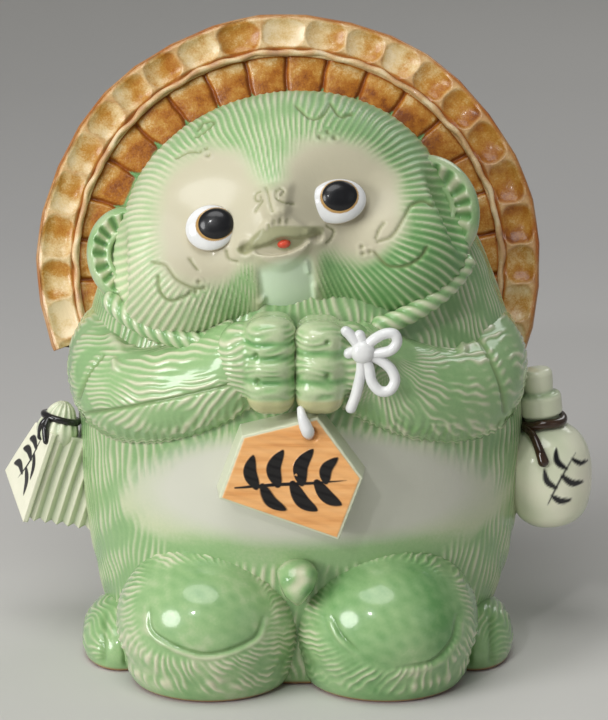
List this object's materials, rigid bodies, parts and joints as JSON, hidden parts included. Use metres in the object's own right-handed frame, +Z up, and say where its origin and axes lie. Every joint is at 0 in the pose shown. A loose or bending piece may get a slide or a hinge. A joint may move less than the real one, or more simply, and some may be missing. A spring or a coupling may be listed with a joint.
{
  "type": "tanuki statue",
  "caption": "Glazed ceramic tanuki statue in a leaning straw hat, paws together over a hung plaque, flask and ledger at its hips; free-standing ornament.",
  "frame": {"origin": "centre of the bounding box, on the ground the figure stands on", "axes": "+Z up, the face looks along -Y, the figure's left hand is towards +X"},
  "size_m": [0.2304, 0.1612, 0.2385],
  "materials": {
    "celadon_glaze": "glossy green glaze, thin and cream on the ridges",
    "pale_glaze": "glossy pale glaze",
    "hat_glaze": "glossy ochre and brown glaze",
    "cord_glaze": "glossy ochre glaze",
    "white_glaze": "glossy white glaze",
    "black_glaze": "glossy black glaze",
    "red_glaze": "glossy red glaze",
    "plaque_glaze": "satin orange-brown slip with black brush strokes",
    "flask_glaze": "glossy cream glaze with black brush dabs",
    "brown_glaze": "glossy dark brown glaze",
    "ledger_glaze": "glossy cream glaze with brown lines",
    "bare_clay": "matt unglazed stoneware"
  },
  "bodies": {
    "root": {"body_shell": "celadon_glaze", "head_shell": "celadon_glaze", "right_arm": "celadon_glaze", "left_arm": "celadon_glaze", "right_paw": "celadon_glaze", "left_paw": "celadon_glaze", "right_ear": "celadon_glaze", "left_ear": "celadon_glaze", "right_foot": "celadon_glaze", "left_foot": "celadon_glaze", "tail": "celadon_glaze", "right_pouch": "pale_glaze", "left_pouch": "pale_glaze", "pouch_tip": "pale_glaze", "throat": "pale_glaze", "muzzle": "pale_glaze", "lower_lip": "pale_glaze", "nose": "pale_glaze", "hat_brim": "hat_glaze", "hat_underside": "hat_glaze", "hat_crown": "hat_glaze", "hat_ring_cord": "cord_glaze", "right_chin_cord": "cord_glaze", "left_chin_cord": "cord_glaze", "right_eye_white": "white_glaze", "left_eye_white": "white_glaze", "wrist_bow": "white_glaze", "plaque_cord": "white_glaze", "right_pupil": "black_glaze", "left_pupil": "black_glaze", "tongue": "red_glaze", "plaque": "plaque_glaze", "flask_body": "flask_glaze", "flask_neck": "flask_glaze", "flask_tie": "brown_glaze", "ledger_tie": "brown_glaze", "ledger": "ledger_glaze", "base_floor": "bare_clay"}
  },
  "joints": []
}
